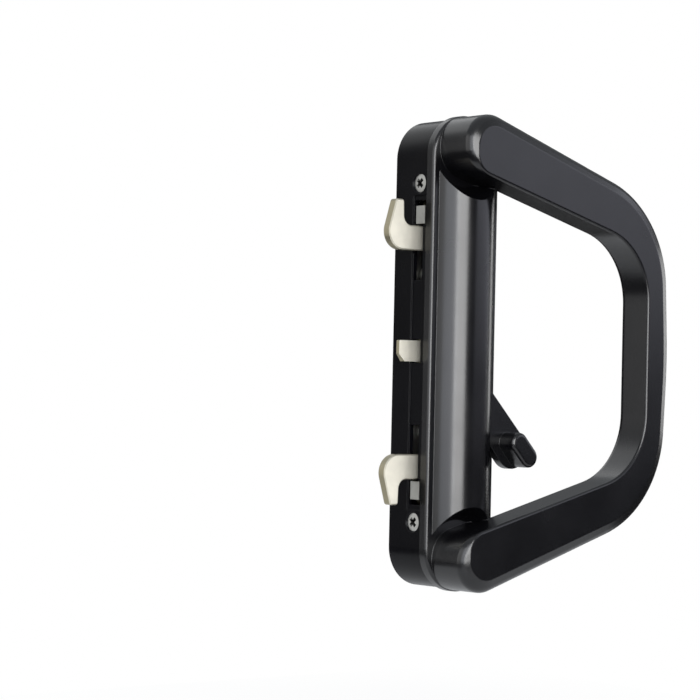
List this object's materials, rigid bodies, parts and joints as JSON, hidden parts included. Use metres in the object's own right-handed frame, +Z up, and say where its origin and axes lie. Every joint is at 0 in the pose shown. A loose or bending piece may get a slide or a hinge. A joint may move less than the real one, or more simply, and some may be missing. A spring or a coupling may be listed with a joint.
{
  "type": "sliding patio door handle",
  "caption": "D-shaped inside pull for a sliding patio door on a narrow lock case, with a thumb lever that swings outward-pointing hooks and a sprung plunger.",
  "frame": {"origin": "middle between the two door bolts, on the back face of the lock case that lies on the door leaf", "axes": "+X from the hooks towards the grip, +Y into the door leaf, -Y into the room, +Z up"},
  "size_m": [0.1327, 0.045, 0.194],
  "materials": {
    "black_paint": "gloss black paint on cast metal",
    "nickel_plate": "satin nickel plate",
    "zinc_steel": "zinc plated sheet steel",
    "pin_steel": "turned steel",
    "screw_steel": "plated screw steel",
    "bush_brass": "turned brass",
    "spring_steel": "drawn spring wire"
  },
  "bodies": {
    "case": {"lock_case": "black_paint", "pull_handle": "black_paint", "side_screws": "screw_steel", "mechanism_plate": "zinc_steel", "mechanism_screws": "screw_steel", "hook_pivots": "pin_steel", "slide_guides": "screw_steel", "lever_bush": "bush_brass", "plunger_spring": "spring_steel"},
    "upper_hook": {"upper_hook": "nickel_plate", "upper_hook_pin": "pin_steel"},
    "lower_hook": {"lower_hook": "nickel_plate", "lower_hook_pin": "pin_steel"},
    "slide": {"drive_slide": "zinc_steel"},
    "hub": {"tailpiece_hub": "zinc_steel"},
    "lever": {"thumb_lever": "black_paint", "lever_shaft": "pin_steel", "lever_crank": "zinc_steel", "lever_screw": "screw_steel"},
    "plunger": {"centre_plunger": "nickel_plate"}
  },
  "joints": [
    {"name": "lever_turn", "type": "hinge", "parent": "case", "child": "lever", "pos_m": [0, -0.016, -0.013], "axis": [0, -1, 0], "range_deg": [0, 50]},
    {"name": "slide_travel", "type": "slide", "parent": "case", "child": "slide", "axis": [0, 0, -1], "range_m": [0, 0.0082]},
    {"name": "upper_hook_swing", "type": "hinge", "parent": "case", "child": "upper_hook", "pos_m": [-0.005, -0.01365, 0.057], "axis": [0, -1, 0], "range_deg": [0, 95]},
    {"name": "lower_hook_swing", "type": "hinge", "parent": "case", "child": "lower_hook", "pos_m": [-0.005, -0.01365, -0.057], "axis": [0, 1, 0], "range_deg": [0, 95]},
    {"name": "hub_turn", "type": "hinge", "parent": "case", "child": "hub", "pos_m": [0, -0.0022, 0], "axis": [0, -1, 0], "range_deg": [0, 75]},
    {"name": "plunger_press", "type": "slide", "parent": "case", "child": "plunger", "axis": [1, 0, 0], "range_m": [0, 0.0085], "stiffness_N_per_m": 300, "springref_m": -0.004, "deforming": ["plunger_spring"]}
  ],
  "couplings": [
    {"joint": "slide_travel", "follows": "lever_turn", "m_per_rad": 0.0089131},
    {"joint": "upper_hook_swing", "follows": "lever_turn", "ratio": 1.8},
    {"joint": "lower_hook_swing", "follows": "lever_turn", "ratio": 1.8},
    {"joint": "hub_turn", "follows": "lever_turn", "ratio": 1.4}
  ]
}
